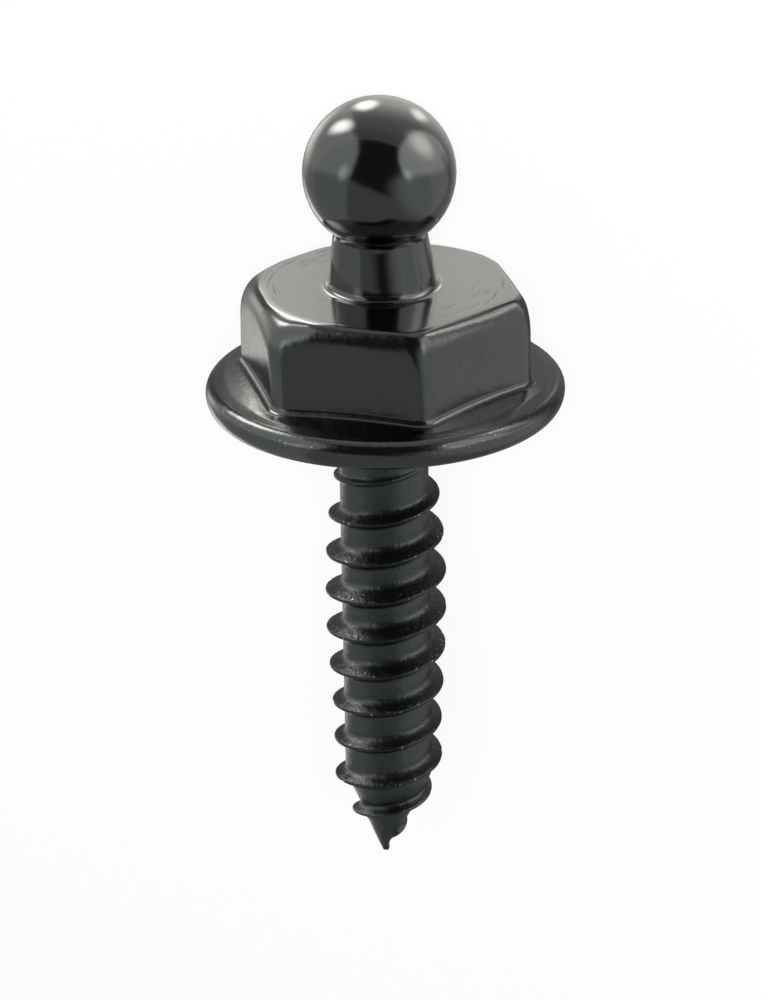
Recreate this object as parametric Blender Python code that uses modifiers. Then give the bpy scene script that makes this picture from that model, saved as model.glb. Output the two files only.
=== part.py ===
"""Ball-stud sheet metal screw: a ball on a flaring neck, a hexagon with an integral round flange, and a
coarse tapping thread that runs out under the flange and shrinks onto a gimlet point.

The screw is one solid. It is modelled upright, with the face under the flange at height 0 and a flat of the
hexagon towards +X, and then laid down as it comes to rest, on the ball and the rim of the flange."""

import math

import bmesh
import bpy
from mathutils import Matrix, Vector

MM = 0.001
NAME = "stud_screw"

# Driving dimensions in millimetres. Depths and heights run along the screw from the bearing face under
# the flange, and a radius is measured from its axis.
FLANGE_EDGE_HEIGHT = 1.15
FLANGE_RISE = 0.25
FLANGE_OVERHANG = 1.8
FLANGE_TOP_ROUNDING = 0.2
FLANGE_RIM_UNDERCUT = 0.5
HEX_ACROSS_FLATS = 10.0
HEX_HEIGHT = 3.4
HEX_FOOT_FILLET = 0.25
HEX_CORNER_ROUNDING = 0.6
HEX_CHAMFER_INSET = 0.15
HEX_CHAMFER_DEGREES = 30.0
HEX_TOP_ROUNDING = 0.3
NECK_TOP_RADIUS = 1.755
NECK_FLARE = 0.265
NECK_LENGTH = 2.14
NECK_FILLET = 0.3
BALL_RADIUS = 2.86
SHANK_LENGTH = 19.3
SHANK_FILLET = 0.35
CORE_RADIUS = 1.7
POINT_HALF_ANGLE_DEGREES = 24.0
TIP_RADIUS = 0.12
THREAD_PITCH = 1.6
THREAD_HEIGHT = 0.65
THREAD_SHRINKAGE = 0.21
THREAD_TOP_DEPTH = 1.8
THREAD_RISE_TURNS = 2.7
BARE_TIP_LENGTH = 0.7
CREST_WIDTH = 0.13
FLANK_DEGREES = 30.0
ROOT_FILLET = 0.14

# The finish, and how finely round shapes are divided.
GUNMETAL = (0.055, 0.06, 0.062, 1.0)
GUNMETAL_ROUGHNESS = 0.22
SEGMENTS = 28
THREAD_STEPS = 42
ARC_STEP_DEGREES = 12.0
RIM_STEPS = 5
HEX_FOOT_STEPS = 3
HEX_CORNER_SEGMENTS = 3

# The crest keeps its full radius down to the first share of the threaded length and shrinks until the
# second. Below the straight shank it falls off as a power of the depth.
SHRINKING_FROM = 0.5
SHRINKING_UNTIL = 0.83
NOSE_FULLNESS = 1.9

# The neck's fillet stops this far short of flat, to meet the hexagon's top at an edge. The ridge's feet
# are sunk this deep in the shank, and the hexagon's blank stands this far above its top. The smallest step
# keeps the corners of the ridge apart where it sinks.
FILLET_STOP_DEGREES = 20.0
RIDGE_FOOT_DEPTH = 0.21
BLANK_ALLOWANCE = 1.0
SMALLEST_STEP = 0.001
MERGE_DISTANCE = SMALLEST_STEP * MM

FLAT_RADIUS = HEX_ACROSS_FLATS / 2
FLANGE_RADIUS = FLAT_RADIUS + FLANGE_OVERHANG
BEARING_RADIUS = FLANGE_RADIUS - FLANGE_RIM_UNDERCUT
FLANGE_SLOPE = FLANGE_RISE / FLANGE_OVERHANG
HEX_FOOT = FLANGE_EDGE_HEIGHT + FLANGE_RISE
HEX_TOP = HEX_FOOT + HEX_HEIGHT
HEX_CHAMFER_RADIUS = FLAT_RADIUS - HEX_CHAMFER_INSET
NECK_FOOT_RADIUS = NECK_TOP_RADIUS + NECK_FLARE
NECK_ANGLE = math.acos(NECK_TOP_RADIUS / BALL_RADIUS)
BALL_HEIGHT = HEX_TOP + NECK_LENGTH + BALL_RADIUS * math.sin(NECK_ANGLE)
POINT_SLOPE = math.tan(math.radians(POINT_HALF_ANGLE_DEGREES))
POINT_TOP = (CORE_RADIUS - TIP_RADIUS) / POINT_SLOPE - SHANK_LENGTH
NOSE_TOP = POINT_TOP + THREAD_PITCH / 4
THREAD_TOP = -THREAD_TOP_DEPTH
THREAD_BOTTOM = BARE_TIP_LENGTH - SHANK_LENGTH
THREAD_RADIUS = CORE_RADIUS + THREAD_HEIGHT
HALF_FACET = math.pi / SEGMENTS
THREAD_START_ANGLE = HALF_FACET / 2


def arc(centre_x, centre_z, radius, start, end):
    """Points on an arc from the start angle to the end angle, in degrees from +X towards +Z."""
    steps = max(2, round(abs(end - start) / ARC_STEP_DEGREES))
    angles = [math.radians(start + (end - start) * i / steps) for i in range(steps + 1)]
    return [(centre_x + radius * math.cos(a), centre_z + radius * math.sin(a)) for a in angles]


def clear_scene():
    for thing in list(bpy.data.objects):
        bpy.data.objects.remove(thing, do_unlink=True)


def new_collection(name):
    made = bpy.data.collections.new(name)
    bpy.context.scene.collection.children.link(made)
    return made


def gunmetal():
    """Dark, glossy plating over steel."""
    material = bpy.data.materials.new("gunmetal_plating")
    material.use_nodes = True
    shader = material.node_tree.nodes["Principled BSDF"]
    shader.inputs["Base Color"].default_value = GUNMETAL
    shader.inputs["Metallic"].default_value = 1.0
    shader.inputs["Roughness"].default_value = GUNMETAL_ROUGHNESS
    return material


def turned(name, profile, collection):
    """A solid of revolution about Z, with a facet towards +X. The profile runs from top to bottom down its
    outer side."""
    mesh = bpy.data.meshes.new(name)
    across, aside = math.cos(HALF_FACET), math.sin(HALF_FACET)
    points = [(x * across * MM, x * aside * MM, z * MM) for x, z in profile]
    mesh.from_pydata(points, [(i, i + 1) for i in range(len(points) - 1)], [])
    made = bpy.data.objects.new(name, mesh)
    collection.objects.link(made)
    screw = made.modifiers.new("turn", "SCREW")
    screw.angle = math.tau
    screw.steps = SEGMENTS
    screw.render_steps = SEGMENTS
    screw.use_merge_vertices = True
    screw.merge_threshold = MERGE_DISTANCE
    screw.use_smooth_shade = True
    return made


def mesh_object(name, bm, collection):
    mesh = bpy.data.meshes.new(name)
    bmesh.ops.recalc_face_normals(bm, faces=bm.faces)
    bm.to_mesh(mesh)
    bm.free()
    made = bpy.data.objects.new(name, mesh)
    collection.objects.link(made)
    return made


def make_helper(thing):
    thing.hide_render = True
    thing.display_type = "WIRE"


def combine(target, other, operation):
    modifier = target.modifiers.new(other.name, "BOOLEAN")
    modifier.operation = operation
    modifier.object = other


def core_radius(height):
    """Radius of the plain shank, or of the conical point, at a height."""
    if height >= POINT_TOP:
        return CORE_RADIUS
    return TIP_RADIUS + (height + SHANK_LENGTH) * POINT_SLOPE


def turned_profile():
    """Outline of everything that is round: ball, neck, flange, shank and point."""
    tilt = 90 - math.degrees(math.atan(FLANGE_SLOPE))
    rounding_x = FLANGE_RADIUS - FLANGE_TOP_ROUNDING
    rounding_z = FLANGE_EDGE_HEIGHT - FLANGE_TOP_ROUNDING
    fillet_x = NECK_FOOT_RADIUS + NECK_FILLET
    under_hex = HEX_FOOT + FLANGE_SLOPE * (FLAT_RADIUS - fillet_x)
    profile = arc(0, BALL_HEIGHT, BALL_RADIUS, 90, -math.degrees(NECK_ANGLE))
    profile += arc(fillet_x, HEX_TOP + NECK_FILLET, NECK_FILLET, 180, 270 - FILLET_STOP_DEGREES)
    profile.append((fillet_x, under_hex))
    profile += arc(rounding_x, rounding_z, FLANGE_TOP_ROUNDING, tilt, 0)
    for step in range(1, RIM_STEPS + 1):
        angle = math.pi / 2 * step / RIM_STEPS
        across = BEARING_RADIUS + (FLANGE_RADIUS - BEARING_RADIUS) * math.cos(angle)
        profile.append((across, rounding_z * (1 - math.sin(angle))))
    profile += arc(CORE_RADIUS + SHANK_FILLET, -SHANK_FILLET, SHANK_FILLET, 90, 180)
    profile.append((CORE_RADIUS, POINT_TOP))
    profile += arc(0, TIP_RADIUS - SHANK_LENGTH, TIP_RADIUS, -POINT_HALF_ANGLE_DEGREES, -90)
    profile[0] = (0, BALL_HEIGHT + BALL_RADIUS)
    profile[-1] = (0, -SHANK_LENGTH)
    return profile


def hexagon(collection):
    """Hexagonal prism with rounded corners and a fillet that runs out onto the flange. It stands higher
    than the real one, because the chamfer is cut from it afterwards."""
    bm = bmesh.new()
    low, high = HEX_FOOT + HEX_FOOT_FILLET, HEX_TOP + BLANK_ALLOWANCE
    corner_radius = FLAT_RADIUS / math.cos(math.pi / 6)
    bmesh.ops.create_cone(
        bm,
        cap_ends=True,
        segments=6,
        radius1=corner_radius * MM,
        radius2=corner_radius * MM,
        depth=(high - low) * MM,
        matrix=Matrix.Translation((0, 0, (low + high) / 2 * MM)),
    )
    first = next(iter(bm.verts)).co
    turn = Matrix.Rotation(math.pi / 6 - math.atan2(first.y, first.x), 4, "Z")
    bmesh.ops.transform(bm, matrix=turn, verts=bm.verts)
    upright = [e for e in bm.edges if abs(e.verts[0].co.z - e.verts[1].co.z) > MM]
    bmesh.ops.bevel(
        bm,
        geom=upright,
        offset=HEX_CORNER_ROUNDING * math.tan(math.pi / 6) * MM,
        segments=HEX_CORNER_SEGMENTS,
        profile=0.5,
        affect="EDGES",
        material=-1,
    )
    bottom = min(bm.faces, key=lambda face: face.calc_center_median().z)
    width = FLAT_RADIUS
    for step in range(1, HEX_FOOT_STEPS + 1):
        angle = math.pi / 2 * step / HEX_FOOT_STEPS
        height = HEX_FOOT + HEX_FOOT_FILLET * (1 - math.sin(angle))
        bottom, width = flare(bm, bottom, height, width, HEX_FOOT_FILLET * (1 - math.cos(angle)))
    flare(bm, bottom, HEX_FOOT / 2, width, width - FLAT_RADIUS)
    return mesh_object("hexagon", bm, collection)


def flare(bm, face, height, width, proud):
    """Draws a face down to a height and widens its outline until its flats stand proud by that much."""
    made = bmesh.ops.extrude_face_region(bm, geom=[face])["geom"]
    bmesh.ops.delete(bm, geom=[face], context="FACES_ONLY")
    corners = [v for v in made if isinstance(v, bmesh.types.BMVert)]
    wanted = FLAT_RADIUS + proud
    for corner in corners:
        corner.co = Vector((corner.co.x * wanted / width, corner.co.y * wanted / width, height * MM))
    lowest = next(f for f in made if isinstance(f, bmesh.types.BMFace))
    return lowest, wanted


def chamfer_envelope(collection):
    """Turned blank that the hexagon is cut back to: flat on top, with a rounded edge and a chamfer."""
    lean = 90 - HEX_CHAMFER_DEGREES
    fall = math.tan(math.radians(HEX_CHAMFER_DEGREES))
    profile = [(0, HEX_TOP)]
    edge_x = HEX_CHAMFER_RADIUS - HEX_TOP_ROUNDING * math.tan(math.radians(HEX_CHAMFER_DEGREES / 2))
    profile += arc(edge_x, HEX_TOP - HEX_TOP_ROUNDING, HEX_TOP_ROUNDING, 90, lean)
    beyond = FLANGE_RADIUS + BLANK_ALLOWANCE
    profile.append((beyond, HEX_TOP - fall * (beyond - HEX_CHAMFER_RADIUS)))
    profile.append((beyond, HEX_FOOT / 4))
    profile.append((0, HEX_FOOT / 4))
    return turned("chamfer_envelope", profile, collection)


def crest_radius(height, turns):
    """Radius of the thread's crest. It rises out of the shank under the flange, shrinks a little on its way
    down, and closes onto the conical point."""
    along = (THREAD_TOP - height) / (THREAD_TOP - NOSE_TOP)
    shrunk = (along - SHRINKING_FROM) / (SHRINKING_UNTIL - SHRINKING_FROM)
    full = THREAD_RADIUS - THREAD_SHRINKAGE * max(0.0, min(1.0, shrunk))
    if height < NOSE_TOP:
        full *= 1 - ((NOSE_TOP - height) / (NOSE_TOP - THREAD_BOTTOM)) ** NOSE_FULLNESS
    rise = math.sin(math.pi / 2 * min(1.0, turns / THREAD_RISE_TURNS))
    buried = core_radius(height) - ROOT_FILLET
    return buried + max(0.0, full - buried) * rise


def ridge_section(height, turns):
    """Outline of the ridge across the thread, as radius and height, from its upper foot to its lower. Both
    feet stand at one radius inside the shank or the point."""
    crest = crest_radius(height, turns)
    shoulder = min(crest, core_radius(height) + ROOT_FILLET) - SMALLEST_STEP
    half_crest = CREST_WIDTH / 2
    half_shoulder = half_crest + (crest - shoulder) * math.tan(math.radians(FLANK_DEGREES))
    half_foot = min(half_shoulder + ROOT_FILLET + RIDGE_FOOT_DEPTH, THREAD_PITCH / 2 - SMALLEST_STEP)
    wall = core_radius(max(height - half_foot, TIP_RADIUS - SHANK_LENGTH))
    foot = max(wall / 2, wall - RIDGE_FOOT_DEPTH)
    outline = []
    for side in (1, -1):
        foot_height = max(height + side * half_foot, TIP_RADIUS - SHANK_LENGTH)
        half = [(foot, foot_height), (shoulder, height + side * half_shoulder), (crest, height + side * half_crest)]
        outline += half if side > 0 else reversed(half)
    return outline


def thread_ridge(collection):
    """The right-handed ridge, lofted through sections that follow the shank and the point. Its two ends lie
    inside the core, and its sections stand between the divisions of the shank."""
    bm = bmesh.new()
    count = math.floor((THREAD_TOP - THREAD_BOTTOM) / THREAD_PITCH * THREAD_STEPS)
    rings = []
    for step in range(count + 1):
        turns = step / THREAD_STEPS
        angle = THREAD_START_ANGLE - math.tau * turns
        height = THREAD_TOP - THREAD_PITCH * (turns - THREAD_START_ANGLE / math.tau)
        ring = []
        for radius, z in ridge_section(height, turns):
            ring.append(bm.verts.new(Vector((radius * math.cos(angle), radius * math.sin(angle), z)) * MM))
        rings.append(ring)
    for upper, lower in zip(rings, rings[1:]):
        for i, corner in enumerate(upper):
            after = (i + 1) % len(upper)
            bm.faces.new((corner, upper[after], lower[after], lower[i]))
    bm.faces.new(rings[0])
    bm.faces.new(rings[-1])
    return mesh_object("thread_ridge", bm, collection)


def rest_tilt():
    """Angle by which the axis leans down towards the ball, where ball and flange rim touch one plane."""
    along = BALL_HEIGHT - (FLANGE_EDGE_HEIGHT - FLANGE_TOP_ROUNDING)
    across = FLANGE_RADIUS - FLANGE_TOP_ROUNDING
    swing = math.asin((FLANGE_TOP_ROUNDING - BALL_RADIUS) / math.hypot(along, across))
    return math.atan2(across, along) + swing


def lay_down(screw, helpers, collection):
    """Parents everything to an empty that holds the rest pose, with its box standing on the origin."""
    rest = bpy.data.objects.new("rest_pose", None)
    collection.objects.link(rest)
    for thing in [screw] + helpers:
        thing.parent = rest
    rest.rotation_euler = (0, math.pi / 2 + rest_tilt(), 0)
    bpy.context.view_layer.update()
    seen = screw.evaluated_get(bpy.context.evaluated_depsgraph_get())
    places = [seen.matrix_world @ v.co for v in seen.data.vertices]
    low = Vector([min(place[i] for place in places) for i in range(3)])
    high = Vector([max(place[i] for place in places) for i in range(3)])
    rest.location = (-(low.x + high.x) / 2, -(low.y + high.y) / 2, -low.z)


def main():
    clear_scene()
    parts = new_collection("ball_stud_screw")
    helpers = new_collection("cutters")
    screw = turned(NAME, turned_profile(), parts)
    screw.data.materials.append(gunmetal())
    hexagonal = hexagon(helpers)
    envelope = chamfer_envelope(helpers)
    ridge = thread_ridge(helpers)
    combine(hexagonal, envelope, "INTERSECT")
    combine(screw, hexagonal, "UNION")
    combine(screw, ridge, "UNION")
    for helper in (hexagonal, envelope, ridge):
        make_helper(helper)
    lay_down(screw, [hexagonal, envelope, ridge], parts)


main()
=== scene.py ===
"""Looks of the ball-stud sheet metal screw: one fine mesh in the place of the CAD solid, dark glossy
plating, a white floor and the camera.

The screw is modelled upright in millimetres, with its axis on Z, the bearing face at height 0 and a flat of
the hexagon towards +X, and is then laid down as the CAD solid lies."""

import math

import bmesh
import bpy
from mathutils import Matrix, Vector, noise


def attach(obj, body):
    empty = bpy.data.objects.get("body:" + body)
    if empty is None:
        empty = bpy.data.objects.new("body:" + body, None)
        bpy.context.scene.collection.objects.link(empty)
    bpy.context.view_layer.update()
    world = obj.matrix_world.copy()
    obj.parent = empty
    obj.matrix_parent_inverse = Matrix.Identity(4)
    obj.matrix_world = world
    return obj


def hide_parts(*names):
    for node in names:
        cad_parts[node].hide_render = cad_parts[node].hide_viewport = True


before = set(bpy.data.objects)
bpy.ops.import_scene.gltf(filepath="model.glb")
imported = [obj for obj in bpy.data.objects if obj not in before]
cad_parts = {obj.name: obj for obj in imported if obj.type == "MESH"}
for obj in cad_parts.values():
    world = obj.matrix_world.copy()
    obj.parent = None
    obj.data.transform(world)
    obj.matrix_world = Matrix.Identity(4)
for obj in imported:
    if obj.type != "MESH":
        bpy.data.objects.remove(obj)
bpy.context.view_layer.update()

MM = 0.001

# Sizes in millimetres. The main ones are those of the CAD solid, and the edges are rounder, as worn edges
# are. Heights run along the axis from the bearing face.
FLANGE_EDGE_HEIGHT = 1.15
FLANGE_RISE = 0.25
FLANGE_OVERHANG = 1.8
FLANGE_TOP_ROUNDING = 0.5
FLANGE_RIM_UNDERCUT = 0.5
HEX_ACROSS_FLATS = 10.0
HEX_HEIGHT = 3.4
HEX_FOOT_FILLET = 0.25
HEX_CORNER_ROUNDING = 0.85
HEX_WORN_RADIUS = 5.08
HEX_LESS_WORN = 0.5
HEX_EDGE_INSET = 0.46
HEX_EDGE_DROP = 0.88
HEX_TWIST_DEGREES = -2.0
NECK_TOP_RADIUS = 1.755
NECK_FLARE = 0.265
NECK_LENGTH = 2.14
NECK_FILLET = 0.3
BALL_RADIUS = 2.86
SHANK_LENGTH = 19.3
SHANK_FILLET = 0.35
CORE_RADIUS = 1.7
POINT_HALF_ANGLE_DEGREES = 24.0
TIP_RADIUS = 0.1
THREAD_PITCH = 1.6
THREAD_TOP = -1.8
CREST_ROUNDING = 0.07
FLANK_DEGREES = 30.0
ROOT_FILLET = 0.14

# Radius of the thread's crest after each number of turns from where it starts.
CREST_TURNS = (0.0, 0.7, 1.2, 1.7, 2.2, 3.2, 4.7, 5.7, 6.2, 7.2, 8.7, 9.2, 9.7, 10.2, 10.35, 10.5)
CREST_RADII = (1.60, 1.93, 2.12, 2.16, 2.26, 2.34, 2.33, 2.25, 2.2, 2.12, 2.12, 1.7, 1.42, 0.74, 0.62, -0.6)

# Near the point the thread's ridge spreads out at its foot, between these turns.
LAST_RIDGE_SPREAD = 0.3
LAST_RIDGE_TURNS = (9.5, 10.0)

# Nicks in the crest are where a noise is above its start, with a finer ripple over them. Both end between
# these turns.
NICK_SCALE = 5
NICK_DEPTH = 0.09
NICK_START = 0.35
RIPPLE_DEPTH = 0.008
RIPPLE_SCALE = 3
NICK_END_TURNS = (9.2, 9.6)

# The photo's right, as seen on the upright screw, lies this far clockwise of the flat towards +X.
PHOTO_TURN_DEGREES = 74.6
PHOTO_RIGHT = math.radians(-PHOTO_TURN_DEGREES)
SIDEWAYS = Vector((math.cos(PHOTO_RIGHT), math.sin(PHOTO_RIGHT), 0))

# The hollow in the side of the point deepens, and ends again, between these heights above the tip.
NIB_HOLLOW_DEPTH = 0.13
NIB_HOLLOW_START = (0.05, 0.4)
NIB_HOLLOW_END = (0.5, 0.95)

# The hexagon's top edge is worn less on the side towards this direction, the less so the closer to it. The
# spread is in cosines of the angle away from it.
LESS_WORN_DEGREES = -119.6
LESS_WORN_SPREAD = (0.0, 0.8)

# How finely the mesh is divided, how far below the shank's fillet its two halves meet, and how close the
# corners are that are joined into one, in millimetres.
AROUND = 192
ALONG_PITCH = 24
ARC_STEP_DEGREES = 7.5
CORNER_GATHERING = 0.75
CREST_GATHERING = 0.65
NECK_STEPS = 6
TOP_STEPS = 8
WALL_STEPS = 4
FLANGE_STEPS = 6
JOIN_BELOW_FILLET = 0.05
JOINED_WITHIN = 0.0005

FLAT_RADIUS = HEX_ACROSS_FLATS / 2
FLANGE_RADIUS = FLAT_RADIUS + FLANGE_OVERHANG
FLANGE_SLOPE = FLANGE_RISE / FLANGE_OVERHANG
HEX_FOOT = FLANGE_EDGE_HEIGHT + FLANGE_RISE
HEX_TOP = HEX_FOOT + HEX_HEIGHT
NECK_FOOT_RADIUS = NECK_TOP_RADIUS + NECK_FLARE
NECK_ANGLE = math.acos(NECK_TOP_RADIUS / BALL_RADIUS)
BALL_HEIGHT = HEX_TOP + NECK_LENGTH + BALL_RADIUS * math.sin(NECK_ANGLE)
POINT_SLOPE = math.tan(math.radians(POINT_HALF_ANGLE_DEGREES))
POINT_TOP = (CORE_RADIUS - TIP_RADIUS) / POINT_SLOPE - SHANK_LENGTH
TIP_HEIGHT = -SHANK_LENGTH
JOIN_HEIGHT = -SHANK_FILLET - JOIN_BELOW_FILLET

# How far the head and the point stand off the shank, and between which heights, or depths for the point,
# they lean out and straighten again.
HEAD_OFFSET = 0.1
HEAD_LEANS_BETWEEN = (-1.6, -0.2)
HEAD_STRAIGHTENS_BETWEEN = (HEX_TOP - 0.2, HEX_TOP + 2.2)
POINT_OFFSET = 0.16
POINT_LEANS_BETWEEN = (16.2, 19.3)

# Where the lying screw has its axis and the middle of its bearing face.
AXIS = Vector((0.91295, 0, -0.40808))
BEARING_CENTRE = Vector((3.188, 0, 6.586)) * MM

# The plating.
HEAD_COLOUR = (0.235, 0.24, 0.238, 1.0)
THREAD_COLOUR = (0.175, 0.185, 0.184, 1.0)
# Painted shade: the thread's flanks and crest take this darker colour, standing in for the dark surroundings
# they show.
FLANK_SHADE_COLOUR = (0.11, 0.114, 0.111, 1.0)
SPECK_COLOUR = (0.75, 0.76, 0.74, 1.0)
MARK_COLOUR = (0.03, 0.03, 0.03, 1.0)
BALL_ROUGHNESS = 0.13
HEAD_ROUGHNESS = 0.16
THREAD_ROUGHNESS = 0.3
ROUGHNESS_SPREAD = 0.1
MARK_STRENGTH = 0.6

# Where each part of the plating begins and ends, by height and by radius.
THREAD_HEIGHTS = (-0.6, 0.2)
FORGED_HEIGHTS = (HEX_TOP - 0.15, HEX_TOP)
RIM_HEIGHTS = (0.4, 0.9)
TOP_FROM = (HEX_TOP - 0.05, HEX_TOP - 0.02)
TOP_TO = (HEX_TOP + 0.02, HEX_TOP + 0.05)
# The painted shade on the thread's flanks and crest fades in between these radii.
FLANK_SHADE_RADII = (1.72, 1.95)
WORN_CREST_RADII = (1.95, 2.15)
WORN_RIM_RADII = (6.45, 6.7)
RIM_WEAR = 0.6

# Scale and detail of each noise.
GRAIN = (3.0, 6.0)
FINE_GRAIN = (14.0, 3.0)
WAVES = (0.6, 1.0)
SPECKS = (9.0, 2.0)
SPECK_PATCHES = (1.1, 1.0)
RINGS = (7.0, 2.0)
RING_WANDER = (0.25, 0.0)
RING_PATCHES = (0.35, 1.0)

# Between which values of its noise each of these begins to show and is whole.
SPECK_EDGE = (0.62, 0.68)
SPECK_PATCH_EDGE = (0.42, 0.6)
RING_EDGE = (0.58, 0.68)
RING_PATCH_EDGE = (0.45, 0.6)

# Height of each noise in the relief: more on the thread, more below the hexagon's top, and everywhere.
RELIEF_DEPTH = 0.03 * MM
GRAIN_RELIEF = (0.9, 0.3, 0.04)
FINE_GRAIN_RELIEF = (0.5, 0.08, 0.015)
RING_RELIEF = 0.04
WAVE_RELIEF = 0.5

# The grey walls on the left and right, and the dark between them: brightness, and how much brighter each
# wall is towards the head's side.
LEFT_WALL = (0.25, 0.18)
RIGHT_WALL = (0.28, 0.36)
BEHIND_LEVEL = 0.135
BELOW_LEVEL = 0.14
DARKEST_LEVEL = 0.022
HEADWARDS = (0.674, 0.032, -0.473)
HEADWARDS_EDGE = (-0.065, 0.055)

# Where they begin, in parts of a direction whose length is 1. The left wall's edge bends away above and
# below a middle height, as far as a limit, and the right wall's bends away upwards. The dark band ends
# behind the screw at the nearer of two lines, each a slope along Y and a start on X. An edge is how far
# before and after its start a level changes.
LEFT_WALL_FROM = 0.33
LEFT_WALL_MIDDLE = 0.25
LEFT_WALL_BEND = 0.6
LEFT_WALL_LIMIT = 0.5
LEFT_WALL_EDGE = (-0.06, 0.08)
RIGHT_WALL_FROM = 0.58
RIGHT_WALL_BEND = 0.8
RIGHT_WALL_EDGE = (-0.04, 0.07)
DIM_RIGHT_OUTWARDS = (0.3, 0.85)
DIM_RIGHT_BACKWARDS = (0.4, 0.7)
BEHIND_LINES = ((0.2, 0.36), (0.6, 0.38))
BEHIND_EDGE = (-0.05, 0.1)
BELOW_EDGE = (0.05, 0.6)

# Windows and lamps: direction, the direction along each, half width and half length in radians, brightness.
WINDOWS = (
    ((0.524, 0.698, -0.488), (1, 0, 0), 0.13, 0.24, 4.2),
    ((0.254, 0.353, -0.9), (1, 0, 0), 0.12, 0.2, 3.8),
    ((0.03, -0.25, -0.968), (-0.83, 0.55, 0), 0.09, 0.2, 1.7),
    ((0.4, -0.79, -0.46), (1, 0, 0), 0.22, 0.28, 1.2),
    ((-0.74, 0.57, -0.34), (0.6, 0.3, -0.74), 0.13, 0.2, 1.25),
    ((-0.28, 0.72, -0.64), (0, 1, 0), 0.2, 0.26, 0.8),
    ((-0.02, 0.05, -1.0), (1, 0, 0), 0.45, 0.5, 0.7),
    ((0.474, 0.656, 0.588), (1, 0, 0), 0.11, 0.17, 0.5),
    ((0.35, -0.851, 0.39), (1, 0, 0), 0.08, 0.14, 0.45),
)
WINDOW_EDGE = (0.35, 1.7)
SAME_SIDE_EDGE = (0, 0.3)

# The floor as the plating shows it, in millimetres: where it is lit beneath the hexagon and the ball, and
# how much of its light is left beside them, close to the screw's line and less of it far out.
HEXAGON_FROM = (4.4, 6.0)
HEXAGON_MIDDLE = 1
HEXAGON_REACH = (5.6, 7.4)
BALL_FROM = (10.5, 12.5)
BESIDE_LEVEL = 0.2
BESIDE_DIMMING = 0.14
BESIDE_REACH = (10, 12.5)
STEEP_VIEWS = (0.5, 0.68)

# Two stretches of floor on the right that the hexagon's wall shows dark: how far they are to the right, how
# steep the views of them are, where they lie along the floor, and how much darker they are.
NEAR_RIGHT = (10.5, 13)
NEAR_VIEWS = (0.4, 0.5)
NEAR_UP_TO = (14, 16)
NEAR_DIMMING = 0.6
FAR_RIGHT = (20, 26)
FAR_VIEWS = (0.16, 0.22)
FAR_FROM = (1, 5)
FAR_DIMMING = 0.75

# The floor's size in millimetres, the share of it that glows and isn't lit, and the colours of the floor and
# of the studio round it.
FLOOR_HALF_SIDE = 200.0
FLOOR_GLOW_SHARE = 0.9
FLOOR_PAINT = (0.9, 0.9, 0.9, 1)
PLAIN_WHITE = (1.0, 1.0, 1.0, 1.0)
FLOOR_TINT = (1.0, 0.985, 0.94, 1.0)
STUDIO_TINT = (0.93, 1.0, 0.985, 1.0)

# The lamp: where it stands as seen from the screw, in millimetres, and its power in watts.
KEY_DIRECTION = (0.69, -0.22, 0.69)
KEY_DISTANCE = 300
KEY_SIDE = 90
KEY_POWER = 1.2
SCREW_MIDDLE = Vector((0, 0, 7)) * MM

# The camera that took the photo, in radians, millimetres and pixels of the photo. What it sees starts and
# ends at these distances, in metres.
CAMERA_ELEVATION = 0.416761909
CAMERA_DISTANCE = 144.289
CAMERA_ROLL = -0.0165309904
CAMERA_OFFSET = (-0.0977, -3.7101)
FOCAL_PIXELS = 3804.65506
IMAGE_HEIGHT = 1000
SENSOR = 36.0
NEAREST_SEEN = 0.01
FARTHEST_SEEN = 10


def blend(low, high, share):
    return low + (high - low) * share


def smooth(low, high, value):
    share = max(0.0, min(1.0, (value - low) / (high - low)))
    return share * share * (3 - 2 * share)


def shares(steps):
    """The shares of the way at which a stretch in so many steps is divided, without its ends."""
    return [step / steps for step in range(1, steps)]


def table_value(places, values, place):
    """Value at a place between the listed ones, on a straight line from one to the next."""
    if place <= places[0]:
        return values[0]
    for left, right, low, high in zip(places, places[1:], values, values[1:]):
        if place <= right:
            return blend(low, high, (place - left) / (right - left))
    return values[-1]


def arc_angles(start, end):
    steps = max(2, round(abs(end - start) / ARC_STEP_DEGREES))
    return [math.radians(blend(start, end, i / steps)) for i in range(steps + 1)]


def hexagon_radius(angle):
    """Distance from the axis to the hexagon's wall, its corners rounded."""
    within = (angle + math.pi / 6) % (math.pi / 3) - math.pi / 6
    corner = (FLAT_RADIUS - HEX_CORNER_ROUNDING) / math.cos(math.pi / 6)
    off = math.pi / 6 - abs(within)
    touching = math.atan2(HEX_CORNER_ROUNDING / 2, corner + HEX_CORNER_ROUNDING * math.cos(math.pi / 6))
    if off > touching:
        return FLAT_RADIUS / math.cos(within)
    return corner * math.cos(off) + math.sqrt(HEX_CORNER_ROUNDING ** 2 - (corner * math.sin(off)) ** 2)


def gathered(angle):
    """Turns an even division round the axis into one that is closer at the hexagon's corners."""
    return angle + CORNER_GATHERING / 6 * math.sin(6 * angle)


def worn_radius(angle):
    """Distance from the axis beyond which the corners of the hexagon's top are worn off."""
    towards = math.cos(angle - math.radians(LESS_WORN_DEGREES))
    return HEX_WORN_RADIUS + HEX_LESS_WORN * smooth(*LESS_WORN_SPREAD, towards)


def flat_top_radius(angle):
    """Distance from the axis to where the hexagon's flat top ends and its worn edge begins."""
    return min(hexagon_radius(angle), worn_radius(angle)) - HEX_EDGE_INSET


def flange_top(radius):
    return FLANGE_EDGE_HEIGHT + FLANGE_SLOPE * (FLANGE_RADIUS - radius)


def edge_row(angle, turn):
    """A row on the worn edge, a quarter of an ellipse that reaches further down at the corners."""
    wall = hexagon_radius(angle)
    drop = HEX_EDGE_DROP + wall - FLAT_RADIUS
    return blend(flat_top_radius(angle), wall, math.cos(turn)), HEX_TOP - drop * (1 - math.sin(turn))


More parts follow.
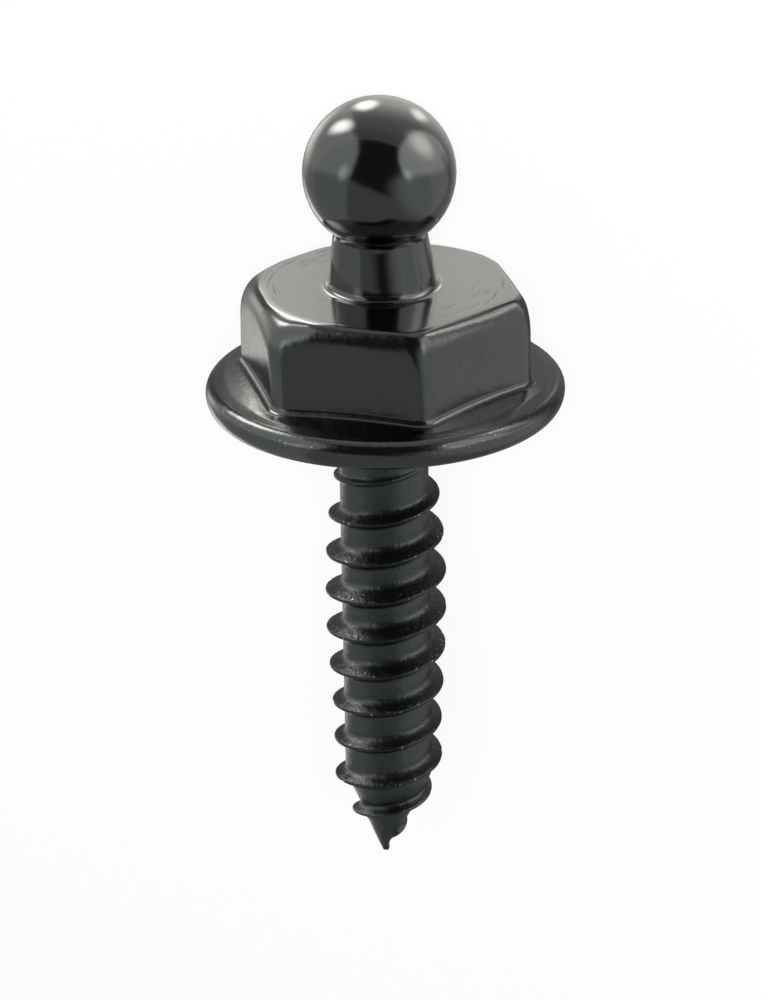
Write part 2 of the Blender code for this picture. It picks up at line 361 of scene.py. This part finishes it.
def wall_row(angle, share):
    _, upper = edge_row(angle, 0.0)
    wall = hexagon_radius(angle)
    return wall, blend(upper, flange_top(wall) + HEX_FOOT_FILLET, share)


def foot_row(angle, turn):
    """A row on the fillet that runs out from the hexagon's wall onto the flange."""
    out = hexagon_radius(angle) + HEX_FOOT_FILLET * (1 + math.cos(turn))
    return out, flange_top(out) + HEX_FOOT_FILLET * (1 + math.sin(turn))


def flange_row(angle, share):
    inner = hexagon_radius(angle) + HEX_FOOT_FILLET
    out = blend(inner, FLANGE_RADIUS - FLANGE_TOP_ROUNDING, share)
    return out, flange_top(out)


def head_rows():
    """The head's outline from the top of the ball down to the shank. Each row is a rule that gives the
    radius and the height at an angle, and says how far the row follows the hexagon's division."""
    rows = []

    def round_row(radius, height):
        rows.append((lambda angle: (radius, height), 0.0))

    for a in arc_angles(90, -math.degrees(NECK_ANGLE)):
        round_row(BALL_RADIUS * math.cos(a), BALL_HEIGHT + BALL_RADIUS * math.sin(a))
    neck_top = BALL_HEIGHT - BALL_RADIUS * math.sin(NECK_ANGLE)
    neck_foot = HEX_TOP + NECK_FILLET
    for share in shares(NECK_STEPS):
        round_row(blend(NECK_TOP_RADIUS, NECK_FOOT_RADIUS, share), blend(neck_top, neck_foot, share))
    fillet_x = NECK_FOOT_RADIUS + NECK_FILLET
    for a in arc_angles(180, 270):
        round_row(fillet_x + NECK_FILLET * math.cos(a), HEX_TOP + NECK_FILLET * (1 + math.sin(a)))

    def top_row(share):
        def place(angle):
            return blend(fillet_x, flat_top_radius(angle), share), HEX_TOP

        rows.append((place, share))

    for share in shares(TOP_STEPS):
        top_row(share)
    for a in arc_angles(90, 0):
        rows.append((lambda angle, a=a: edge_row(angle, a), 1.0))
    for share in shares(WALL_STEPS):
        rows.append((lambda angle, share=share: wall_row(angle, share), 1.0))
    for a in arc_angles(180, 270):
        rows.append((lambda angle, a=a: foot_row(angle, a), 1.0))
    for share in shares(FLANGE_STEPS):
        rows.append((lambda angle, share=share: flange_row(angle, share), 1 - share))
    rounding_x = FLANGE_RADIUS - FLANGE_TOP_ROUNDING
    rounding_z = FLANGE_EDGE_HEIGHT - FLANGE_TOP_ROUNDING
    tilt = 90 - math.degrees(math.atan(FLANGE_SLOPE))
    for a in arc_angles(tilt, 0):
        across = rounding_x + FLANGE_TOP_ROUNDING * math.cos(a)
        round_row(across, rounding_z + FLANGE_TOP_ROUNDING * math.sin(a))
    for a in arc_angles(0, 90)[1:]:
        across = FLANGE_RADIUS - FLANGE_RIM_UNDERCUT * (1 - math.cos(a))
        round_row(across, rounding_z * (1 - math.sin(a)))
    inner = CORE_RADIUS + SHANK_FILLET
    for share in shares(FLANGE_STEPS):
        round_row(blend(FLANGE_RADIUS - FLANGE_RIM_UNDERCUT, inner, share), 0)
    for a in arc_angles(90, 180):
        round_row(CORE_RADIUS + SHANK_FILLET * (1 + math.cos(a)), SHANK_FILLET * (math.sin(a) - 1))
    round_row(CORE_RADIUS, JOIN_HEIGHT)
    return rows


def spun(bm, points, angle, steps, drop, closed):
    """Spins a chain of points round Z. Each corner keeps its point's number in the row layer."""
    layer = bm.verts.layers.int["row"]
    chain = []
    for row, (radius, height) in enumerate(points):
        corner = bm.verts.new((radius, 0, height))
        corner[layer] = row
        chain.append(corner)
    edges = [bm.edges.new(pair) for pair in zip(chain, chain[1:])]
    bmesh.ops.spin(
        bm,
        geom=chain + edges,
        axis=(0, 0, 1),
        cent=(0, 0, 0),
        dvec=(0, 0, drop),
        angle=angle,
        steps=steps,
        use_merge=closed,
    )


def head_mesh():
    """Ball, neck, hexagon and flange, as a plain cone whose rows are then drawn to their places."""
    bm = bmesh.new()
    layer = bm.verts.layers.int.new("row")
    rows = head_rows()
    cone = [(1 + row / 10, -row) for row in range(len(rows))]
    spun(bm, cone, math.tau, AROUND, 0, True)
    for corner in bm.verts:
        place, follows = rows[corner[layer]]
        step = round(math.atan2(corner.co.y, corner.co.x) / math.tau * AROUND)
        angle = math.tau * step / AROUND
        angle = blend(angle, gathered(angle), follows)
        radius, height = place(angle)
        twist = math.radians(HEX_TWIST_DEGREES) * follows
        angle += twist * max(0.0, (height - HEX_FOOT) / HEX_HEIGHT)
        corner.co = (radius * math.cos(angle), radius * math.sin(angle), height)
    return bm


def core_radius(height):
    if height >= POINT_TOP:
        return CORE_RADIUS
    return max(0.0, TIP_RADIUS + (height - TIP_HEIGHT) * POINT_SLOPE)


def nick(angle, turns):
    """How deep the rolled crest is nicked or dented here."""
    around = Vector((math.cos(angle) * NICK_SCALE, math.sin(angle) * NICK_SCALE, turns * NICK_SCALE))
    deep = NICK_DEPTH * max(0.0, noise.noise(around) - NICK_START)
    ripple = RIPPLE_DEPTH * noise.noise(around * RIPPLE_SCALE)
    return (deep + ripple) * (1 - smooth(*NICK_END_TURNS, turns))


def nib_hollow(angle, height):
    """How deep the side of the point is hollowed where the end of the thread broke off."""
    above = height - TIP_HEIGHT
    facing = max(0.0, math.cos(angle - PHOTO_RIGHT))
    deepened = smooth(*NIB_HOLLOW_START, above) * (1 - smooth(*NIB_HOLLOW_END, above))
    return NIB_HOLLOW_DEPTH * facing * deepened


def shank_radius(angle, turns, offset):
    """Radius of the threaded shank at a number of turns from the thread's start, offset along the axis by a
    distance from the crest."""
    height = THREAD_TOP - THREAD_PITCH * turns - offset
    core = core_radius(height)
    crest = table_value(CREST_TURNS, CREST_RADII, turns) - nick(angle, turns)
    slope = math.tan(math.radians(FLANK_DEGREES))
    away = abs(offset)
    if away < CREST_ROUNDING:
        ridge = crest - (CREST_ROUNDING - math.sqrt(max(0.0, CREST_ROUNDING ** 2 - away ** 2))) * 0.5
    else:
        ridge = crest - CREST_ROUNDING * 0.5 - (away - CREST_ROUNDING) / slope
    gap = ridge - core
    soft = ROOT_FILLET + LAST_RIDGE_SPREAD * smooth(*LAST_RIDGE_TURNS, turns)
    hollow = nib_hollow(angle, height)
    if gap > soft:
        return ridge - hollow
    if gap < -soft:
        return core - hollow
    return core + (gap + soft) ** 2 / (4 * soft) - hollow


def offset_positions():
    """Places across one pitch, from half a pitch above the crest to half a pitch below it, close together
    on the crest and its flanks."""
    places = []
    for i in range(ALONG_PITCH + 1):
        share = 2 * i / ALONG_PITCH - 1
        places.append(THREAD_PITCH / 2 * blend(share, share ** 3, CREST_GATHERING))
    return places


def shank_mesh():
    """The threaded shank: one pitch's worth of points, spun down the axis turn by turn."""
    bm = bmesh.new()
    layer = bm.verts.layers.int.new("row")
    offsets = offset_positions()
    first = -math.ceil((JOIN_HEIGHT - THREAD_TOP) / THREAD_PITCH + 0.5) - 1
    last = math.ceil((THREAD_TOP - TIP_HEIGHT) / THREAD_PITCH + 0.5) + 1
    points = [(CORE_RADIUS, -offset - first * THREAD_PITCH) for offset in offsets]
    spun(bm, points, -math.tau, AROUND, -THREAD_PITCH / AROUND, False)
    one_turn = bm.verts[:] + bm.edges[:] + bm.faces[:]
    for turn in range(1, last - first):
        made = bmesh.ops.duplicate(bm, geom=one_turn)["geom"]
        corners = [part for part in made if isinstance(part, bmesh.types.BMVert)]
        bmesh.ops.translate(bm, vec=(0, 0, -THREAD_PITCH * turn), verts=corners)
    for corner in bm.verts:
        offset = offsets[corner[layer]]
        step = round((-corner.co.z - offset) / THREAD_PITCH * AROUND)
        turns = step / AROUND
        angle = -math.tau * turns
        height = THREAD_TOP - THREAD_PITCH * turns - offset
        radius = shank_radius(angle, turns, offset)
        if height > JOIN_HEIGHT:
            height, radius = JOIN_HEIGHT, CORE_RADIUS
        if height < TIP_HEIGHT:
            height, radius = TIP_HEIGHT, 0.0
        corner.co = (radius * math.cos(angle), radius * math.sin(angle), height)
    return bm


def lean(height):
    """How far the piece stands to one side at a height. The head was forged a little off the shank, and the
    point was rolled off to the other side."""
    head = smooth(*HEAD_LEANS_BETWEEN, height) * (1 - smooth(*HEAD_STRAIGHTENS_BETWEEN, height))
    return HEAD_OFFSET * head - POINT_OFFSET * smooth(*POINT_LEANS_BETWEEN, -height)


def lying():
    """Takes the upright screw, in millimetres, to its place on the floor, in metres."""
    down = Vector((AXIS.z, 0, -AXIS.x))
    turned = Matrix((down, Vector((0, 1, 0)), AXIS)).transposed().to_4x4()
    return Matrix.Translation(BEARING_CENTRE) @ turned @ Matrix.Scale(MM, 4)


def shown_object(name, mesh):
    made = bpy.data.objects.new(name, mesh)
    bpy.context.scene.collection.objects.link(made)
    return made


def screw_object():
    """Head and shank as one closed mesh, laid down as the CAD solid lies."""
    bm = head_mesh()
    shank = shank_mesh()
    carried = bpy.data.meshes.new("shank")
    shank.to_mesh(carried)
    shank.free()
    bm.from_mesh(carried)
    bpy.data.meshes.remove(carried)
    bmesh.ops.remove_doubles(bm, verts=bm.verts, dist=JOINED_WITHIN)
    bmesh.ops.dissolve_degenerate(bm, edges=bm.edges, dist=JOINED_WITHIN)
    bmesh.ops.recalc_face_normals(bm, faces=bm.faces)
    for face in bm.faces:
        face.smooth = True
    upright = bm.verts.layers.float_vector.new("upright")
    for corner in bm.verts:
        corner[upright] = corner.co
        corner.co += SIDEWAYS * lean(corner.co.z)
    bmesh.ops.transform(bm, matrix=lying(), verts=bm.verts)
    lowest = min(corner.co.z for corner in bm.verts)
    bmesh.ops.translate(bm, vec=(0, 0, -lowest), verts=bm.verts)
    mesh = bpy.data.meshes.new("screw_surface")
    bm.to_mesh(mesh)
    bm.free()
    return shown_object("screw_surface", mesh)


class Signal:
    """An output of a shader node. Sums and products of signals add the nodes that work them out."""

    def __init__(self, tree, socket=None):
        self.tree = tree
        self.socket = socket

    def node(self, kind, settings, inputs, output=0):
        """Adds a node with its settings and its inputs' values or links, and gives one of its outputs."""
        made = self.tree.nodes.new(kind)
        for name, value in settings.items():
            setattr(made, name, value)
        for name, value in inputs.items():
            if isinstance(value, Signal):
                self.tree.links.new(value.socket, made.inputs[name])
            else:
                made.inputs[name].default_value = value
        return Signal(self.tree, made.outputs[output])

    def sibling(self, output):
        """Another output of the same node."""
        return Signal(self.tree, self.socket.node.outputs[output])

    def feeds(self, end, name):
        """Links the signal to an input of the node that ends the tree."""
        self.tree.links.new(self.socket, end.inputs[name])

    def maths(self, operation, *others):
        values = dict(enumerate((self,) + others))
        return self.node("ShaderNodeMath", {"operation": operation}, values)

    def __add__(self, other):
        return self.maths("ADD", other)

    def __mul__(self, other):
        return self.maths("MULTIPLY", other)

    def __sub__(self, other):
        return self.maths("SUBTRACT", other)

    def __neg__(self):
        return self * -1

    def __rsub__(self, other):
        return -self + other

    __radd__ = __add__
    __rmul__ = __mul__

    def clamped(self):
        return self.node("ShaderNodeClamp", {}, {"Value": self})

    def eased(self, low, high):
        """0 below the low value, 1 above the high one, and a smooth step between."""
        settings = {"interpolation_type": "SMOOTHSTEP"}
        inputs = {"Value": self, "From Min": low, "From Max": high}
        return self.node("ShaderNodeMapRange", settings, inputs)

    def vector_maths(self, operation, other, output="Vector"):
        return self.node("ShaderNodeVectorMath", {"operation": operation}, {0: self, 1: other}, output)

    def scaled(self, share):
        return self.node("ShaderNodeVectorMath", {"operation": "SCALE"}, {0: self, "Scale": share})

    def parts(self):
        """The three numbers of a vector."""
        x = self.node("ShaderNodeSeparateXYZ", {}, {"Vector": self})
        return x, x.sibling("Y"), x.sibling("Z")


def cleared_tree(owner, end_kind):
    """Empties the node tree of a material or world. Gives a signal that carries nothing yet, and the node
    that ends the tree."""
    owner.use_nodes = True
    tree = owner.node_tree
    tree.nodes.clear()
    return Signal(tree), tree.nodes.new(end_kind)


def noise_at(place, scale, detail):
    return place.node("ShaderNodeTexNoise", {}, {"Vector": place, "Scale": scale, "Detail": detail})


def mixed_colour(share, first, second):
    return share.node("ShaderNodeMix", {"data_type": "RGBA"}, {0: share, 6: first, 7: second}, 2)


def plating():
    """Dark glossy plating: duller on the rolled thread, with painted shade darkening its flanks and crest,
    worn specks on its crest and turning marks on the hexagon's top."""
    material = bpy.data.materials.new("plating")
    start, end = cleared_tree(material, "ShaderNodeOutputMaterial")
    place = start.node("ShaderNodeAttribute", {"attribute_name": "upright"}, {}, "Vector")
    _, _, height = place.parts()
    flat = place.vector_maths("MULTIPLY", (1, 1, 0))
    radius = flat.node("ShaderNodeVectorMath", {"operation": "LENGTH"}, {0: flat}, "Value")
    grain = noise_at(place, *GRAIN)
    fine = noise_at(place, *FINE_GRAIN)

    thread = 1 - height.eased(*THREAD_HEIGHTS)
    # Painted shade: where the darker colour is painted on the thread's flanks and crest, beyond its root.
    flank_shade = thread * radius.eased(*FLANK_SHADE_RADII)
    forged = 1 - height.eased(*FORGED_HEIGHTS)
    top = height.eased(*TOP_FROM) * (1 - height.eased(*TOP_TO))
    worn_crest = thread * radius.eased(*WORN_CREST_RADII)
    worn_rim = height.eased(*RIM_HEIGHTS) * radius.eased(*WORN_RIM_RADII) * RIM_WEAR
    worn = (worn_crest + worn_rim).clamped() * noise_at(place, *SPECK_PATCHES).eased(*SPECK_PATCH_EDGE)
    specks = noise_at(place, *SPECKS).eased(*SPECK_EDGE) * worn
    wander = noise_at(place, *RING_WANDER)
    ring_place = radius.node("ShaderNodeCombineXYZ", {}, {"X": radius, "Y": wander})
    rings = noise_at(ring_place, *RINGS)
    marks = rings.eased(*RING_EDGE) * top * noise_at(place, *RING_PATCHES).eased(*RING_PATCH_EDGE)

    colour = mixed_colour(thread, HEAD_COLOUR, THREAD_COLOUR)
    colour = mixed_colour(flank_shade, colour, FLANK_SHADE_COLOUR)
    colour = mixed_colour(marks * MARK_STRENGTH, colour, MARK_COLOUR)
    colour = mixed_colour(specks, colour, SPECK_COLOUR)
    rough = BALL_ROUGHNESS + forged * (HEAD_ROUGHNESS - BALL_ROUGHNESS)
    rough = rough + thread * (THREAD_ROUGHNESS - HEAD_ROUGHNESS) + (grain - 0.5) * ROUGHNESS_SPREAD

    def by_part(on_thread, on_forged, everywhere):
        return thread * on_thread + forged * on_forged + everywhere

    relief = grain * by_part(*GRAIN_RELIEF) + fine * by_part(*FINE_GRAIN_RELIEF)
    relief = relief + rings * top * RING_RELIEF + noise_at(place, *WAVES) * forged * WAVE_RELIEF
    bump_inputs = {"Strength": 1.0, "Distance": RELIEF_DEPTH, "Height": relief}
    bump = relief.node("ShaderNodeBump", {}, bump_inputs)
    look = {"Base Color": colour, "Metallic": 1.0, "Roughness": rough, "Normal": bump}
    start.node("ShaderNodeBsdfPrincipled", {}, look).feeds(end, "Surface")
    return material


def shade_below(place, way):
    """How much of the surroundings is left in what the plating shows of the floor. Steep views show little
    beneath the shank and beside the head, and all of it beneath the hexagon and the ball. Two stretches on
    the right are darker."""
    x, y, _ = place.scaled(1 / MM).parts()
    _, _, upwards = way.parts()
    downwards = -upwards
    off_middle = (y - HEXAGON_MIDDLE).maths("ABSOLUTE")
    beneath_hexagon = x.eased(*HEXAGON_FROM) * (1 - off_middle.eased(*HEXAGON_REACH))
    beside = BESIDE_LEVEL - y.maths("ABSOLUTE").eased(*BESIDE_REACH) * BESIDE_DIMMING
    left = (beneath_hexagon + beside).maths("MAXIMUM", x.eased(*BALL_FROM))
    steep = 1 - downwards.eased(*STEEP_VIEWS) * (1 - left)
    near = (-y).eased(*NEAR_RIGHT) * downwards.eased(*NEAR_VIEWS) * (1 - x.eased(*NEAR_UP_TO))
    far = (-y).eased(*FAR_RIGHT) * downwards.eased(*FAR_VIEWS) * x.eased(*FAR_FROM)
    return steep * (1 - near * NEAR_DIMMING) * (1 - far * FAR_DIMMING)


def towards_dot(way, direction):
    return way.vector_maths("DOT_PRODUCT", direction, "Value")


def window_level(way, centre, along, half_width, half_length):
    """1 in the middle of a window, about a half at its edge, 0 well outside."""
    middle = Vector(centre).normalized()
    lengthways = (Vector(along) - middle * middle.dot(Vector(along))).normalized()
    sideways = middle.cross(lengthways)
    along_share = towards_dot(way, lengthways) * (1 / half_length)
    across_share = towards_dot(way, sideways) * (1 / half_width)
    distance = (along_share * along_share + across_share * across_share).maths("SQRT")
    same_side = towards_dot(way, middle).eased(*SAME_SIDE_EDGE)
    return (1 - distance.eased(*WINDOW_EDGE)) * same_side


def studio_level(way):
    """How bright the surroundings are in a direction: a dark band from the camera's side over the top, grey
    walls on both sides, and windows."""
    x, y, z = way.parts()
    headwards = towards_dot(way, HEADWARDS).eased(*HEADWARDS_EDGE)
    strength, more = LEFT_WALL
    off_middle = z - LEFT_WALL_MIDDLE
    bend = off_middle * off_middle * LEFT_WALL_BEND
    left_edge = (bend + LEFT_WALL_FROM).maths("MINIMUM", LEFT_WALL_LIMIT)
    left = (y - left_edge).eased(*LEFT_WALL_EDGE) * (headwards * more + strength)
    strength, more = RIGHT_WALL
    right_edge = z * z.maths("MAXIMUM", 0) * RIGHT_WALL_BEND + RIGHT_WALL_FROM
    right = (-y - right_edge).eased(*RIGHT_WALL_EDGE) * (headwards * more + strength)
    dim_right = (-y).eased(*DIM_RIGHT_OUTWARDS) * (1 - x).eased(*DIM_RIGHT_BACKWARDS) * strength
    first, second = (y * slope + from_x for slope, from_x in BEHIND_LINES)
    behind = (first.maths("MINIMUM", second) - x).eased(*BEHIND_EDGE) * BEHIND_LEVEL
    below = (-z).eased(*BELOW_EDGE) * BELOW_LEVEL
    level = left + right
    for other in (behind, dim_right, below):
        level = level.maths("MAXIMUM", other)
    level = level + DARKEST_LEVEL
    for *window, brightness in WINDOWS:
        level = level + window_level(way, *window) * brightness
    return level


def white_floor():
    """A floor that is white to the camera, shows the surroundings in the plating, darker beneath the shank,
    and has a lit share on which the screw's shadow falls."""
    material = bpy.data.materials.new("white_floor")
    start, end = cleared_tree(material, "ShaderNodeOutputMaterial")
    seen = start.node("ShaderNodeLightPath", {}, {}, "Is Camera Ray")
    mirrored = seen.sibling("Is Glossy Ray")
    through = seen.sibling("Is Transmission Ray")
    way = start.node("ShaderNodeNewGeometry", {}, {}, "Incoming").scaled(-1)
    place = start.node("ShaderNodeTexCoord", {}, {}, "Object")
    shown = seen + through + mirrored * studio_level(way) * shade_below(place, way)
    tint = mixed_colour(mirrored, PLAIN_WHITE, FLOOR_TINT)
    glow = start.node("ShaderNodeEmission", {}, {"Color": tint, "Strength": shown})
    paint = start.node("ShaderNodeBsdfDiffuse", {}, {"Color": FLOOR_PAINT})
    start.node("ShaderNodeMixShader", {}, {0: FLOOR_GLOW_SHARE, 1: paint, 2: glow}).feeds(end, "Surface")
    return material


def floor_object():
    bm = bmesh.new()
    bmesh.ops.create_grid(bm, x_segments=1, y_segments=1, size=FLOOR_HALF_SIDE * MM)
    mesh = bpy.data.meshes.new("floor")
    bm.to_mesh(mesh)
    bm.free()
    made = shown_object("floor", mesh)
    made.data.materials.append(white_floor())


def studio():
    """The studio round the screw, seen in its plating."""
    world = bpy.data.worlds.new("studio")
    bpy.context.scene.world = world
    start, end = cleared_tree(world, "ShaderNodeOutputWorld")
    way = start.node("ShaderNodeTexCoord", {}, {}, "Generated")
    light = {"Color": STUDIO_TINT, "Strength": studio_level(way)}
    start.node("ShaderNodeBackground", {}, light).feeds(end, "Surface")


def key_lamp():
    """A square lamp that shines at the screw's middle and gives the shadow on the floor."""
    data = bpy.data.lights.new("key", "AREA")
    data.energy = KEY_POWER
    data.size = KEY_SIDE * MM
    made = shown_object("key", data)
    way = Vector(KEY_DIRECTION).normalized()
    made.location = SCREW_MIDDLE + way * KEY_DISTANCE * MM
    made.rotation_mode = "QUATERNION"
    made.rotation_quaternion = way.to_track_quat("Z", "Y")
    made.visible_glossy = False


def camera():
    """The photo's view: in the frame of the upright screw the camera stands off towards -Y, above it."""
    back = Vector((0, -math.cos(CAMERA_ELEVATION), math.sin(CAMERA_ELEVATION)))
    up = Vector((0, math.sin(CAMERA_ELEVATION), math.cos(CAMERA_ELEVATION)))
    right = Vector((1, 0, 0))
    c, s = math.cos(CAMERA_ROLL), math.sin(CAMERA_ROLL)
    level_right = right * c + up * s
    level_up = up * c - right * s
    place = back * CAMERA_DISTANCE + level_right * CAMERA_OFFSET[0] + level_up * CAMERA_OFFSET[1]
    seat = Matrix((level_right, level_up, back)).transposed().to_4x4()
    seat.translation = place
    unturned = Matrix.Rotation(PHOTO_RIGHT, 4, "Z")
    world = lying() @ unturned @ seat
    data = bpy.data.cameras.new("camera")
    data.sensor_width = SENSOR
    data.lens = FOCAL_PIXELS / IMAGE_HEIGHT * SENSOR
    data.clip_start = NEAREST_SEEN
    data.clip_end = FARTHEST_SEEN
    made = shown_object("camera", data)
    made.rotation_mode = "QUATERNION"
    made.location = world.translation
    made.rotation_quaternion = world.to_3x3().normalized().to_quaternion()
    bpy.context.scene.camera = made


def main():
    screw = screw_object()
    screw.data.materials.append(plating())
    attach(screw, "root")
    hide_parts("stud_screw")
    floor_object()
    studio()
    key_lamp()
    camera()
    bpy.context.scene.view_settings.view_transform = "Standard"


main()
